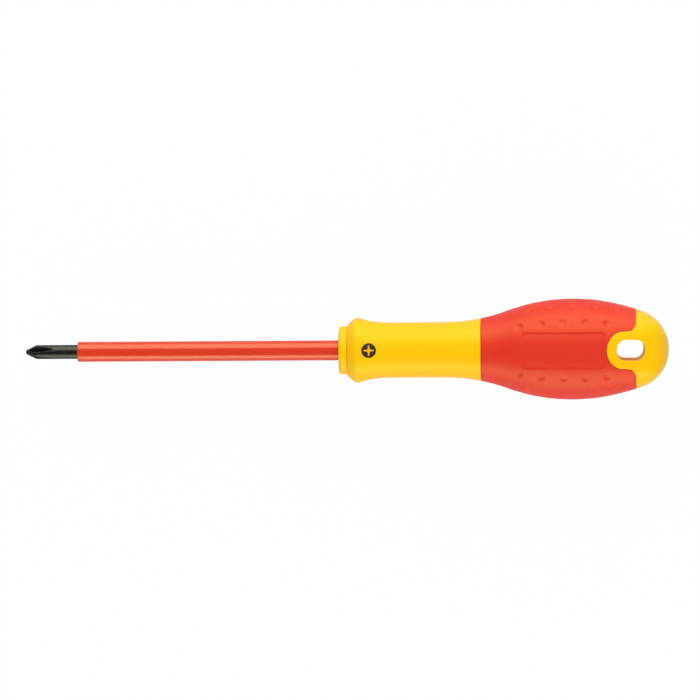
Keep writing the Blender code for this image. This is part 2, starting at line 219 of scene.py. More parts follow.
# Floor, which the handle's belly lies on, and backdrop
FLOOR_GLOW = 0.965
FLOOR_MIRRORED = 0.2
FLOOR_REACH = 6.0
FLOOR_GAP = 0.05 * MM
FLOOR_Z = PANEL_DEPTH - BELLY_HALF_THICKNESS - SWELL - GRIP_PROUD - FLOOR_GAP
BACKDROP_HEIGHT = 2.5
PAPER_BOUNCE = (0.5, 0.5, 0.5)
PAPER_SEEN = (0.85, 0.85, 0.85)

# Lamps: place, the point that each faces, size and power
SKY_LIGHT = 0.12
LAMP_X = 0.1
SLOT_X = BLADE_REACH + (SLOT_FRONT + SLOT_REAR) / 2
CEILING_FILL = ((LAMP_X, 0, 1.7), (LAMP_X, 0, 0), (3.0, 3.0), 18.0)
FRONT_FILL = ((-0.6, 0, 0.3), (0, 0, 0.1), (0.8, 0.6), 0.6)
REAR_FILL = ((0.8, 0, 0.3), (0.2, 0, 0.1), (0.8, 0.6), 1.4)
UPPER_WALL = ((LAMP_X, 0.6, 0.40), (LAMP_X, 0, 0.40), (1.0, 0.84), 7.4)
LOWER_WALL = ((LAMP_X, -0.6, 0.23), (LAMP_X, 0, 0.23), (1.0, 0.5), 4.5)
SLOT_GLOW = ((SLOT_X, 0, FLOOR_Z + 0.2 * MM), (SLOT_X, 0, 0), (8 * MM, 6 * MM), 0.00045)

# Camera
SENSOR_WIDTH = 36
CAMERA_DISTANCE = 1500 * MM
CAMERA_TILT_X = math.radians(2.2)
CAMERA_TILT_Y = math.radians(2.3)
CAMERA_ROLL = math.radians(-0.42)
PICTURE_WIDTH = 224 * MM
PICTURE_CENTRE = (103.97 * MM, 0.1 * MM, 0)


# Outline of the handle

def sweep_run(low, high, rise):
    """Length of an S-shaped sweep of two tangent arcs, level at both ends."""
    return math.sqrt((low + high) ** 2 - (low + high - rise) ** 2)


def sweep_height(along, low, high, rise):
    """Height of that sweep above its low end."""
    run = sweep_run(low, high, rise)
    along = np.clip(along, 0, run)
    rising = low - np.sqrt(np.maximum(low**2 - along**2, 0))
    easing = rise - high + np.sqrt(np.maximum(high**2 - (run - along) ** 2, 0))
    return np.where(along < run * low / (low + high), rising, easing)


GUARD_RISE = GUARD_RADIUS - WAIST_RADIUS
GUARD_FACE_END = GUARD_PLACE - GUARD_CREST * math.sin(GUARD_FACE_ANGLE)
COVE_END = GUARD_PLACE + sweep_run(GUARD_COVE, GUARD_CREST, GUARD_RISE)
NECK_START = BELLY_PLACE - sweep_run(NECK_SWEEP, BELLY_SWEEP, BELLY_HALF_WIDTH - WAIST_RADIUS)


def arc_height(radius, along):
    return np.sqrt(np.maximum(radius**2 - along**2, 0))


def front_radius(place, belly_half):
    """Guard, waist and the long sweep up to the belly."""
    face_radius = GUARD_RADIUS - GUARD_CREST * (1 - math.cos(GUARD_FACE_ANGLE))
    face = face_radius - (GUARD_FACE_END - place) * math.tan(GUARD_FACE_ANGLE)
    crest = GUARD_RADIUS - GUARD_CREST + arc_height(GUARD_CREST, GUARD_PLACE - place)
    cove = WAIST_RADIUS + sweep_height(COVE_END - place, GUARD_COVE, GUARD_CREST, GUARD_RISE)
    rise = belly_half - WAIST_RADIUS
    along = place - BELLY_PLACE + sweep_run(NECK_SWEEP, BELLY_SWEEP, rise)
    neck = WAIST_RADIUS + sweep_height(along, NECK_SWEEP, BELLY_SWEEP, rise)
    guard = np.where(place < GUARD_FACE_END, face, np.where(place < GUARD_PLACE, crest, cove))
    return np.where(place < COVE_END, guard, neck)


def half_width(place):
    """Half of the handle's width, seen on its face."""
    run = BUTT_CENTRE - BELLY_PLACE
    sweep = (run**2 + BELLY_HALF_WIDTH**2 - BUTT_RADIUS**2) / (2 * (BELLY_HALF_WIDTH - BUTT_RADIUS))
    butt_start = BELLY_PLACE + run * sweep / (sweep - BUTT_RADIUS)
    flank = BELLY_HALF_WIDTH - sweep + arc_height(sweep, place - BELLY_PLACE)
    rear = np.where(place < butt_start, flank, arc_height(BUTT_RADIUS, place - BUTT_CENTRE))
    return np.where(place < BELLY_PLACE, front_radius(place, BELLY_HALF_WIDTH), rear)


def half_thickness(place):
    """Half of the handle's thickness, seen from its side."""
    face = BELLY_HALF_THICKNESS - FACE_SWEEP + arc_height(FACE_SWEEP, place - BELLY_PLACE)
    into_edge = np.clip((place - HANDLE_LENGTH + BUTT_EDGE) / BUTT_EDGE, 0, 1)
    rear = face * (1 - into_edge**BUTT_EDGE_POWER) ** (1 / BUTT_EDGE_POWER)
    return np.where(place < BELLY_PLACE, front_radius(place, BELLY_HALF_THICKNESS), rear)


def squareness(place):
    """Power of a section's outline: 2 is an ellipse, more is squarer."""
    into_butt = np.clip((place - HANDLE_LENGTH + SQUARING_LENGTH) / SQUARING_LENGTH, 0, 1)
    return 2 + (BUTT_SQUARENESS - 2) * into_butt**2


def face_height(place, y):
    """Height of the handle's face over a point of its plan."""
    power = squareness(place)
    share = np.abs(y) / np.maximum(half_width(place), MERGE_DISTANCE)
    return half_thickness(place) * (1 - np.minimum(share, 1) ** power) ** (1 / power)


def grip_wall(place):
    """Thickness of the soft grip, thinner at its front lip."""
    return GRIP_LIP + (GRIP_WALL - GRIP_LIP) * np.clip((place - GRIP_FRONT) / GRIP_RAMP, 0, 1)


def smooth_step(value):
    value = np.clip(value, 0, 1)
    return value * value * (3 - 2 * value)


def swell(place):
    """How far the skin swells beyond that outline under the hand."""
    rise = smooth_step((place - SWELL_START) / (GRIP_FRONT - SWELL_START))
    fall = smooth_step((place - SWELL_FALL) / (SWELL_END - SWELL_FALL))
    return SWELL * rise * (1 - fall)


# Columns of the handle's skin

def quarter_columns():
    """Columns from the middle of the face to the side: plan y, share of turn and the grip's end.

    The first lie round the tongue, the next round its fillet, and the rest share out the side.
    """
    turn = np.linspace(0, QUARTER_TURN, TONGUE_COLUMNS + 1)[:-1]
    bend = np.linspace(0, QUARTER_TURN, FILLET_COLUMNS + 1)[1:]
    fillet_place = GRIP_REAR - TONGUE_FILLET
    y = np.concatenate([
        TONGUE_HALF_WIDTH * np.sin(turn),
        [TONGUE_HALF_WIDTH],
        TONGUE_HALF_WIDTH + TONGUE_FILLET * (1 - np.cos(bend)),
        np.full(SIDE_COLUMNS, TONGUE_HALF_WIDTH + TONGUE_FILLET),
    ])
    rear = np.concatenate([
        TONGUE_FRONT + TONGUE_END * (1 - np.cos(turn)),
        [(TONGUE_FRONT + TONGUE_END + fillet_place) / 2],
        fillet_place + TONGUE_FILLET * np.sin(bend),
        np.full(SIDE_COLUMNS, GRIP_REAR),
    ])
    share = np.ones(len(y))
    share[-SIDE_COLUMNS:] = np.linspace(1, 0, SIDE_COLUMNS + 1)[1:]
    return y, share, rear


QUARTER_Y, QUARTER_SHARE, QUARTER_REAR = quarter_columns()
LAST = len(QUARTER_Y) - 1
QUARTER = np.arange(LAST + 1)
ROUND = np.concatenate([QUARTER, QUARTER[-2::-1], QUARTER[1:], QUARTER[-2:0:-1]])
SIGN_Y = np.repeat([1, -1], [2 * LAST + 1, 2 * LAST - 1])
SIGN_Z = np.repeat([1, -1, 1], [LAST + 1, 2 * LAST, LAST - 1])
SEAM = QUARTER_REAR[ROUND]


def column_turn(place, outset):
    """Turn of each column from the side, in the parameter of the section's outline."""
    wide = half_width(place) + outset
    power = squareness(place)
    edge = np.arccos(np.clip(QUARTER_Y[ROUND] / wide, 0, 1) ** (power / 2))
    return edge * QUARTER_SHARE[ROUND]


NECK_TURN = column_turn(np.array(GRIP_FRONT), 0)


def skin(place, outset):
    """Rows of points on the handle's skin, moved out by outset."""
    place, outset, _ = np.broadcast_arrays(place, outset, SEAM)
    power = squareness(place)
    turn = np.where(place < GRIP_FRONT, NECK_TURN, column_turn(place, outset))
    y = (half_width(place) + outset) * np.cos(turn) ** (2 / power)
    z = (half_thickness(place) + outset) * np.sin(turn) ** (2 / power)
    return np.stack([BLADE_REACH + place, SIGN_Y * y, SIGN_Z * z], axis=-1)


def down(values):
    """Values as a column, one for each row of points."""
    return np.asarray(values)[:, None]


# Meshes

def new_object(name, mesh):
    thing = bpy.data.objects.new(name, mesh)
    bpy.context.scene.collection.objects.link(thing)
    return thing


def close_up(thing, sharp_angle=SHARP_ANGLE):
    """Join what coincides, turn the faces outwards and shade all but the sharp edges smooth."""
    mesh_data = bmesh.new()
    mesh_data.from_mesh(thing.data)
    bmesh.ops.remove_doubles(mesh_data, verts=mesh_data.verts, dist=MERGE_DISTANCE)
    bmesh.ops.dissolve_degenerate(mesh_data, edges=mesh_data.edges, dist=MERGE_DISTANCE)
    bmesh.ops.recalc_face_normals(mesh_data, faces=mesh_data.faces)
    mesh_data.to_mesh(thing.data)
    mesh_data.free()
    thing.data.shade_smooth()
    thing.data.set_sharp_from_angle(angle=sharp_angle)


def grid_faces(rows, columns, first=0, closed=False):
    """Quads between the rows of a grid whose columns run round in a ring."""
    row = np.arange(rows if closed else rows - 1)[:, None]
    column = np.arange(columns)[None, :]
    following = (row + 1) % rows
    beside = (column + 1) % columns
    corners = [row * columns + column, row * columns + beside, following * columns + beside]
    corners.append(following * columns + column)
    return first + np.stack(np.broadcast_arrays(*corners), axis=-1).reshape(-1, 4)


def skinned(name, grids, closed=False):
    """One object from grids of points, each an array of rows."""
    points, faces, first = [], [], 0
    for grid in grids:
        points.append(grid.reshape(-1, 3))
        faces.append(grid_faces(*grid.shape[:2], first, closed))
        first += grid.shape[0] * grid.shape[1]
    mesh = bpy.data.meshes.new(name)
    mesh.from_pydata(np.concatenate(points), [], np.concatenate(faces).tolist())
    return new_object(name, mesh)


def evaluated_mesh(thing):
    """Make what the modifiers give an object's own mesh, and take them off."""
    depsgraph = bpy.context.evaluated_depsgraph_get()
    mesh = bpy.data.meshes.new_from_object(thing.evaluated_get(depsgraph))
    thing.modifiers.clear()
    thing.data = mesh


def boolean(thing, other, operation):
    """Add or cut another solid, which is then removed."""
    modifier = thing.modifiers.new(operation, "BOOLEAN")
    modifier.operation = operation
    modifier.object = other
    evaluated_mesh(thing)
    bpy.data.objects.remove(other)


# Node trees

# Sockets of a Mix node that mixes colours: they share their names with those for other data
MIX_FACTOR, MIX_FIRST, MIX_SECOND, MIX_RESULT = 0, 6, 7, 2


class Wire:
    """A socket of a node tree. Sums on it add Math nodes to the tree."""

    def __init__(self, tree, socket=None):
        self.tree = tree
        self.socket = socket

    def node(self, kind, settings=None, values=None, output=0):
        """A new node: its settings first, then the values or links of its sockets."""
        made = self.tree.nodes.new(kind)
        for name, value in (settings or {}).items():
            setattr(made, name, value)
        for key, value in (values or {}).items():
            self.feed(made.inputs[key], value)
        return Wire(self.tree, made.outputs[output])

    def feed(self, socket, value):
        if isinstance(value, Wire):
            self.tree.links.new(value.socket, socket)
        else:
            socket.default_value = value

    def other(self, output):
        """Another output of the same node."""
        return Wire(self.tree, self.socket.node.outputs[output])

    def math(self, operation, *values):
        return self.node("ShaderNodeMath", {"operation": operation}, dict(enumerate(values)))

    def vector(self, operation, *values):
        return self.node("ShaderNodeVectorMath", {"operation": operation}, dict(enumerate(values)))

    def __add__(self, value):
        return self.math("ADD", self, value)

    def __sub__(self, value):
        return self.math("SUBTRACT", self, value)

    def __rsub__(self, value):
        return self.math("SUBTRACT", value, self)

    def __mul__(self, value):
        return self.math("MULTIPLY", self, value)

    def __truediv__(self, value):
        return self.math("DIVIDE", self, value)

    def __rtruediv__(self, value):
        return self.math("DIVIDE", value, self)

    __radd__ = __add__
    __rmul__ = __mul__

    def xyz(self):
        """The three parts of a vector."""
        x = self.node("ShaderNodeSeparateXYZ", values={0: self})
        return x, x.other(1), x.other(2)

    def joined(self, x, y, z):
        return self.node("ShaderNodeCombineXYZ", values={0: x, 1: y, 2: z})

    def noise(self, scale, detail=2.0, stretch=(1, 1, 1)):
        """Soft noise from 0 to 1 at this vector, stretched along the axes."""
        place = self.vector("MULTIPLY", self, stretch)
        values = {"Vector": place, "Scale": scale, "Detail": detail}
        return self.node("ShaderNodeTexNoise", values=values)

    def tint(self, low, high):
        """A colour between two, by this value."""
        return self.mixed((*low, 1), (*high, 1))

    def mixed(self, first, second):
        """One of two colours or wires passing into the other, by this value."""
        values = {MIX_FACTOR: self, MIX_FIRST: first, MIX_SECOND: second}
        return self.node("ShaderNodeMix", {"data_type": "RGBA"}, values, MIX_RESULT)


class GeometryTree:
    """A geometry node tree with named inputs and one geometry in and out."""

    def __init__(self, name, inputs):
        self.tree = bpy.data.node_groups.new(name, "GeometryNodeTree")
        self.tree.interface.new_socket("Geometry", in_out="OUTPUT", socket_type="NodeSocketGeometry")
        self.names = {}
        for label, kind in {"Geometry": "Geometry", **inputs, "Material": "Material"}.items():
            socket = self.tree.interface.new_socket(label, in_out="INPUT", socket_type=f"NodeSocket{kind}")
            self.names[label] = socket.identifier
        self.start = Wire(self.tree).node("NodeGroupInput")

    def input(self, label):
        return self.start.other(label)

    def end(self, geometry):
        """Close the tree: realize, set the material, and give the result out."""
        real = geometry.node("GeometryNodeRealizeInstances", values={"Geometry": geometry})
        values = {"Geometry": real, "Material": self.input("Material")}
        painted = geometry.node("GeometryNodeSetMaterial", values=values)
        out = self.tree.nodes.new("NodeGroupOutput")
        self.tree.links.new(painted.socket, out.inputs[0])

    def run(self, thing, **values):
        """Run the tree on an object and keep the result as its plain mesh."""
        modifier = thing.modifiers.new(self.tree.name, "NODES")
        modifier.node_group = self.tree
        for label, value in values.items():
            modifier[self.names[label.replace("_", " ")]] = value
        evaluated_mesh(thing)


def turning_tree():
    """Turns a profile of (place along X, radius) points about X; flagged points follow a hexagon."""
    turning = GeometryTree("turned piece", {"Sides": "Int"})
    start, profile = turning.start, turning.input("Geometry")
    sides = turning.input("Sides")
    count = start.node("GeometryNodeAttributeDomainSize", values={0: profile})
    grid_values = {"Vertices X": count, "Vertices Y": sides + 1}
    grid = start.node("GeometryNodeMeshGrid", values=grid_values)
    index = start.node("GeometryNodeInputIndex")
    row = start.math("FLOOR", index / (sides + 1))
    angle = (index - row * (sides + 1)) * (4 * QUARTER_TURN) / sides
    here = start.node("GeometryNodeInputPosition")
    flag = start.node("GeometryNodeInputNamedAttribute", {"data_type": "FLOAT"}, {"Name": "hexagonal"})
    picked = {"Geometry": profile, "Index": row}
    point_values = {**picked, "Value": here}
    point = start.node("GeometryNodeSampleIndex", {"data_type": "FLOAT_VECTOR"}, point_values)
    flat_side = start.node("GeometryNodeSampleIndex", {"data_type": "FLOAT"}, {**picked, "Value": flag})
    x, radius, _ = point.xyz()
    sixth = QUARTER_TURN / 3
    bevel = start.math("COSINE", start.math("PINGPONG", angle + sixth, sixth))
    reach = radius * (1 + flat_side * (1 / bevel - 1))
    place = start.joined(x, reach * start.math("COSINE", angle), reach * start.math("SINE", angle))
    values = {"Geometry": grid, "Position": place}
    turning.end(start.node("GeometryNodeSetPosition", values=values))
    return turning


def flute_tree():
    """Grinds flutes into a blade: square grooves that climb slowly, then sweep out to the shank. It also
    stores a mask along the wings' edges near the tip, where the steel's finish paints a highlight.
    """
    labels = ("Count", "Turn", "Length", "Straight", "Root", "Climb", "Radius", "Edge", "Glint")
    grinding = GeometryTree("flutes", dict.fromkeys(labels, "Float"))
    start = grinding.start
    x, y, z = start.node("GeometryNodeInputPosition").xyz()
    radius = start.math("SQRT", y * y + z * z)
    half_pitch = 2 * QUARTER_TURN / grinding.input("Count")
    angle = start.math("ARCTAN2", y, z) - grinding.input("Turn")
    off_middle = start.math("PINGPONG", angle, half_pitch)
    length, straight = grinding.input("Length"), grinding.input("Straight")
    root, climb = grinding.input("Root"), grinding.input("Climb")
    along = start.math("MAXIMUM", x - straight, 0) / (length - straight)
    sweep = (grinding.input("Radius") - root - climb * length) * along * along
    slope = start.math("COSINE", off_middle) - start.math("SINE", off_middle)
    depth = root + climb * x + sweep
    groove = depth / start.math("MAXIMUM", slope, 0.001)
    share = start.math("SMOOTH_MIN", radius, groove, grinding.input("Edge")) / radius
    place = start.joined(x, y * share, z * share)
    # Mask for a painted highlight: 1 on the wings' edges, fading towards the shank
    edge_cosine = start.math("MINIMUM", depth / radius / math.sqrt(2), 1)
    edge_turn = start.math("ARCCOSINE", edge_cosine) - QUARTER_TURN / 2
    off_edge = start.math("MAXIMUM", (off_middle - edge_turn) * radius, radius - groove)
    fading = start.math("MAXIMUM", 1 - x / length, 0)
    glint = start.math("MAXIMUM", 1 - off_edge / grinding.input("Glint"), 0) * fading
    values = {"Geometry": grinding.input("Geometry"), "Name": "glint_edge", "Value": glint}
    marked = start.node("GeometryNodeStoreNamedAttribute", {"data_type": "FLOAT"}, values)
    values = {"Geometry": marked, "Position": place}
    values["Selection"] = start.math("LESS_THAN", x, length * FLUTE_MARGIN)
    grinding.end(start.node("GeometryNodeSetPosition", values=values))
    return grinding


def dimple_tree(rows):
    """Presses rows of dimples into a skin, mirrored from side to side."""
    inputs = {"Diameter": "Float", "Depth": "Float", "Pitch": "Float", "Count": "Int", "Reach": "Float"}
    pressing = GeometryTree("dimples", inputs)
    start, surface = pressing.start, pressing.input("Geometry")
    join = start.tree.nodes.new("GeometryNodeJoinGeometry")
    offset = start.joined(pressing.input("Pitch"), 0, 0)
    for turn, first in rows:
        begin = start.joined(BLADE_REACH + first, 0, pressing.input("Reach"))
        values = {"Count": pressing.input("Count"), "Start Location": begin, "Offset": offset}
        line = start.node("GeometryNodeMeshLine", {"mode": "OFFSET"}, values)
        for side in (-1, 1):
            values = {"Geometry": line, "Rotation": (side * math.radians(turn), 0, 0)}
            turned = start.node("GeometryNodeTransform", values=values)
            start.tree.links.new(turned.socket, join.inputs[0])
    here = start.node("GeometryNodeInputPosition")
    inward = start.vector("MULTIPLY", here, (0, -1, -1))
    cast = {"Target Geometry": surface, "Ray Direction": inward, "Ray Length": 2 * BELLY_HALF_WIDTH}
    hit = start.node("GeometryNodeRaycast", values=cast, output="Hit Position")
    values = {"Geometry": Wire(start.tree, join.outputs[0]), "Position": hit}
    centres = start.node("GeometryNodeSetPosition", values=values)
    near = start.node("GeometryNodeProximity", {"target_element": "POINTS"}, {0: centres}, "Distance")
    share = near / (pressing.input("Diameter") / 2)
    bowl = start.math("POWER", start.math("MAXIMUM", 1 - share * share, 0), 2)
    normal = start.node("GeometryNodeInputNormal")
    sink = start.joined(*[bowl * pressing.input("Depth") * -1] * 3)
    values = {"Geometry": surface, "Offset": start.vector("MULTIPLY", normal, sink)}
    pressing.end(start.node("GeometryNodeSetPosition", values=values))
    return pressing


# Finishes

def new_finish(name, **constants):
    """A material, its shader and a wire of its Object coordinates."""
    material = bpy.data.materials.new(name)
    material.use_nodes = True
    shader = material.node_tree.nodes["Principled BSDF"]
    for label, value in constants.items():
        shader.inputs[label.replace("_", " ")].default_value = value
    place = Wire(material.node_tree).node("ShaderNodeTexCoord", output="Object")
    return material, shader, place


def hard_plastic(name, colours):
    """Moulded hard plastic: satin, faintly mottled along the flow, with a very fine grain."""
    material, shader, place = new_finish(name, IOR=1.47, Specular_Tint=YELLOW_GLOSS)
    flow = place.noise(scale=90, detail=3, stretch=(0.35, 1, 1))
    cloud = place.noise(scale=420)
    place.feed(shader.inputs["Base Color"], (flow * 0.7 + cloud * 0.3).tint(*colours))
    place.feed(shader.inputs["Roughness"], 0.28 + cloud * 0.08 + flow * 0.05)
    grain = place.noise(scale=2600, detail=3) * 0.8 + place.noise(scale=700) * 0.4
    bump = place.node("ShaderNodeBump", values={"Distance": PLASTIC_GRAIN, "Height": grain})
    place.feed(shader.inputs["Normal"], bump)
    return material


def soft_elastomer():
    """Soft grip: matt elastomer with an eroded mould's grain."""
    material, shader, place = new_finish("red elastomer", IOR=1.6, Specular_Tint=GRIP_GLOSS)
    cloud = place.noise(scale=160, detail=3)
    speck = place.noise(scale=1500)
    place.feed(shader.inputs["Base Color"], (cloud * 0.6 + speck * 0.4).tint(*GRIP_RED))
    place.feed(shader.inputs["Roughness"], 0.38 + speck * 0.12)
    grain = place.noise(scale=2200, detail=3) + place.noise(scale=900) * 0.6
    bump = place.node("ShaderNodeBump", values={"Distance": ELASTOMER_GRAIN, "Height": grain})
    place.feed(shader.inputs["Normal"], bump)
    return material


def sleeve_plastic():
    """Insulating sleeve: glossy drawn plastic with faint lines along the blade."""
    material, shader, place = new_finish("red insulation", IOR=1.75, Specular_Tint=SLEEVE_GLOSS)
    lines = place.noise(scale=2400, stretch=(0.012, 1, 1))
    cloud = place.noise(scale=70)
    place.feed(shader.inputs["Base Color"], (cloud * 0.7 + lines * 0.3).tint(*SLEEVE_RED))
    place.feed(shader.inputs["Roughness"], 0.17 + lines * 0.08)
    bump = place.node("ShaderNodeBump", values={"Distance": SLEEVE_LINES, "Height": lines})
    place.feed(shader.inputs["Normal"], bump)
    return material


def dark_steel():
    """Black-finished steel with fine lines round the shank and a mottled finish, painted pale along the
    wings' edges near the tip as a highlight.
    """
    material, shader, place = new_finish("dark steel", Metallic=1)
    rings = place.noise(scale=5200, stretch=(1, 0.03, 0.03))
    cloud = place.noise(scale=520, detail=4)
    black = (cloud * 0.65 + rings * 0.35).tint(*STEEL_BLACK)
    # Painted highlight: the wings' edges near the tip turn pale, standing in for glints of light
    edges = place.node("ShaderNodeAttribute", {"attribute_name": "glint_edge"}, output="Fac")
    glint = edges * (0.4 + cloud)
    place.feed(shader.inputs["Base Color"], glint.mixed(black, STEEL_GLINT))
    place.feed(shader.inputs["Roughness"], 0.3 + cloud * 0.12 + rings * 0.06)
    bump = place.node("ShaderNodeBump", values={"Distance": STEEL_GRAIN, "Height": rings + cloud})
    place.feed(shader.inputs["Normal"], bump)
    return material


def mark_ink():
    """Pad-printed ink, a little uneven."""
    material, shader, place = new_finish("mark ink")
    cloud = place.noise(scale=1800, detail=3)
    place.feed(shader.inputs["Base Color"], cloud.tint(*INK_BROWN))
    place.feed(shader.inputs["Roughness"], 0.42 + cloud * 0.1)
    return material


# Pieces

def arc(centre, radius, start, end, steps):
    """Points on an arc, both ends included."""
    angle = np.linspace(start, end, steps + 1)
    return np.stack([centre[0] + radius * np.cos(angle), centre[1] + radius * np.sin(angle)], axis=-1)


def profile_object(name, points, hexagonal=()):
    """A mesh that holds the points of a profile; those numbered in hexagonal are flagged."""
    mesh = bpy.data.meshes.new(name)
    mesh.from_pydata([(x, radius, 0) for x, radius in points], [], [])
    flags = mesh.attributes.new("hexagonal", "FLOAT", "POINT")
    for number in hexagonal:
        flags.data[number].value = 1
    return new_object(name, mesh)


def ear_block(name, gap):
    """The flat ears across the tang."""
    length, width, thickness = EAR_SIZE
    mesh_data = bmesh.new()
    bmesh.ops.create_cube(mesh_data, size=1)
    size = Matrix.Diagonal((length + 2 * gap, width + 2 * gap, thickness + 2 * gap, 1))
    mesh_data.transform(Matrix.Translation((BLADE_REACH + EAR_PLACE + length / 2, 0, 0)) @ size)
    mesh = bpy.data.meshes.new(name)
    mesh_data.to_mesh(mesh)
    mesh_data.free()
    return new_object(name, mesh)


def make_blade(turning, grinding):
    """Steel bar: turned with its tang, joined with the ears, then fluted at the tip."""
    cone_end = (SHANK_RADIUS - TIP_FLAT_RADIUS) / math.tan(TIP_CONE_ANGLE)
    end = BLADE_REACH + TANG_DEPTH
    flat = [(0, 0), (0, TIP_FLAT_RADIUS * 0.5), (0, TIP_FLAT_RADIUS - TIP_EDGE)]
    share = np.linspace(0, 1, CONE_STEPS + 1)[1:]
    cone_radius = TIP_FLAT_RADIUS + (SHANK_RADIUS - TIP_FLAT_RADIUS) * share
    cone = np.stack([cone_end * share, cone_radius], axis=-1)
    fluted_places = np.arange(cone_end + FLUTE_FIRST_ROW, FLUTE_ROWS_END, FLUTE_ROW_STEP)
    shank = [(place, SHANK_RADIUS) for place in [*fluted_places, BARE_TIP, end - TANG_CHAMFER]]
    tang = [(end, SHANK_RADIUS - TANG_CHAMFER), (end, 0)]
    blade = profile_object("blade_steel", [*flat, *cone, *shank, *tang])
    finish = dark_steel()
    turning.run(blade, Sides=BLADE_SIDES, Material=finish)
    close_up(blade)
    boolean(blade, ear_block("ears", 0), "UNION")
    close_up(blade)
    sizes = {"Length": FLUTE_LENGTH, "Straight": FLUTE_STRAIGHT, "Root": FLUTE_ROOT, "Glint": FLUTE_GLINT}
    sizes.update({"Climb": math.tan(FLUTE_CLIMB), "Radius": SHANK_RADIUS, "Edge": FLUTE_EDGE})
    grinding.run(blade, Count=float(FLUTE_COUNT), Turn=FLUTE_TURN, Material=finish, **sizes)
    close_up(blade, FLUTE_SHARP_ANGLE)
    return blade


def make_sleeve(turning):
    """Insulating tube on the bar, with a rounded front."""
    edge_centre = (BARE_TIP + SLEEVE_EDGE, SLEEVE_RADIUS - SLEEVE_EDGE)
    edge = arc(edge_centre, SLEEVE_EDGE, QUARTER_TURN, 2 * QUARTER_TURN, SLEEVE_EDGE_STEPS)
    inner = SHANK_RADIUS + SEAM_GAP
    end = BLADE_REACH + SLEEVE_DEPTH
    points = [(end, inner), (end, SLEEVE_RADIUS), *edge, (BARE_TIP, inner + SLEEVE_MOUTH)]
    points += [(BARE_TIP + SLEEVE_MOUTH, inner), (end, inner)]
    sleeve = profile_object("blade_sleeve_red", points)
    turning.run(sleeve, Sides=TURN_SIDES, Material=sleeve_plastic())
    close_up(sleeve)
    return sleeve


def make_core(turning):
    """First moulding shot: nose ring and hexagonal stem, with room for the tang and its ears."""
    front = BLADE_REACH + NOSE_FRONT
    nose_end = BLADE_REACH + NOSE_BACK
    bore = SLEEVE_RADIUS + SEAM_GAP
    shank_bore = SHANK_RADIUS + SEAM_GAP
    step = BLADE_REACH + SLEEVE_DEPTH + SEAM_GAP
    tang_end = BLADE_REACH + TANG_DEPTH + SEAM_GAP
    mouth_centre = (front + NOSE_BACK_EDGE, bore + NOSE_BACK_EDGE)
    mouth = arc(mouth_centre, NOSE_BACK_EDGE, 3 * QUARTER_TURN, 2 * QUARTER_TURN, FINE_EDGE_STEPS)
    edge_centre = (front + NOSE_EDGE, NOSE_RADIUS - NOSE_EDGE)
    edge = arc(edge_centre, NOSE_EDGE, 2 * QUARTER_TURN, QUARTER_TURN, NOSE_EDGE_STEPS)
    back_centre = (nose_end - NOSE_BACK_EDGE, NOSE_RADIUS - NOSE_BACK_EDGE)
    back = arc(back_centre, NOSE_BACK_EDGE, QUARTER_TURN, 0, FINE_EDGE_STEPS)
    inside = [(tang_end, 0), (tang_end, shank_bore), (step, shank_bore), (step, bore)]
    points = [*inside, *mouth, *edge, *back]
    end = BLADE_REACH + CORE_DEPTH
    stem = [(nose_end, CORE_HALF_FLATS), (end, CORE_HALF_FLATS)]
    hexagonal = (len(points), len(points) + 1)
    core = profile_object("inner_core_yellow", [*points, *stem, (end, 0)], hexagonal)
    turning.run(core, Sides=CORE_SIDES, Material=hard_plastic("nose yellow", NOSE_YELLOW))
    close_up(core)
    boolean(core, ear_block("ear_pocket", SEAM_GAP), "DIFFERENCE")
    close_up(core)
    return core


def plan_inside(place, y):
    """Distance of a point of the grip's plan from the grip's outline."""
    before_sides = np.minimum(place - TONGUE_FRONT - TONGUE_END, 0)
    notch = np.hypot(before_sides * TONGUE_HALF_WIDTH / TONGUE_END, y) - TONGUE_HALF_WIDTH
    rear = GRIP_REAR - place
    short = np.hypot(np.maximum(TONGUE_FILLET - notch, 0), np.maximum(TONGUE_FILLET - rear, 0))
    deep = np.maximum(np.minimum(notch, rear) - TONGUE_FILLET, 0)
    return np.maximum(np.minimum(TONGUE_FILLET - short + deep, place - GRIP_FRONT), 0)


def panel_inside(place, y):
    """Distance of a point of the grip's plan inside the panel's outline, negative outside."""
    half_length = (PANEL_END - PANEL_START) / 2
    along = np.abs(place - PANEL_START - half_length) - half_length + PANEL_CORNER
    across = np.abs(y) - PANEL_HALF_WIDTH + PANEL_CORNER
    outside = np.hypot(np.maximum(along, 0), np.maximum(across, 0))
    return PANEL_CORNER - outside - np.minimum(np.maximum(along, across), 0)


def rounded_drop(distance, radius):
    """How far a rounded edge lies below the surface, at a distance from its end."""
    return radius - arc_height(radius, np.maximum(radius - distance, 0))


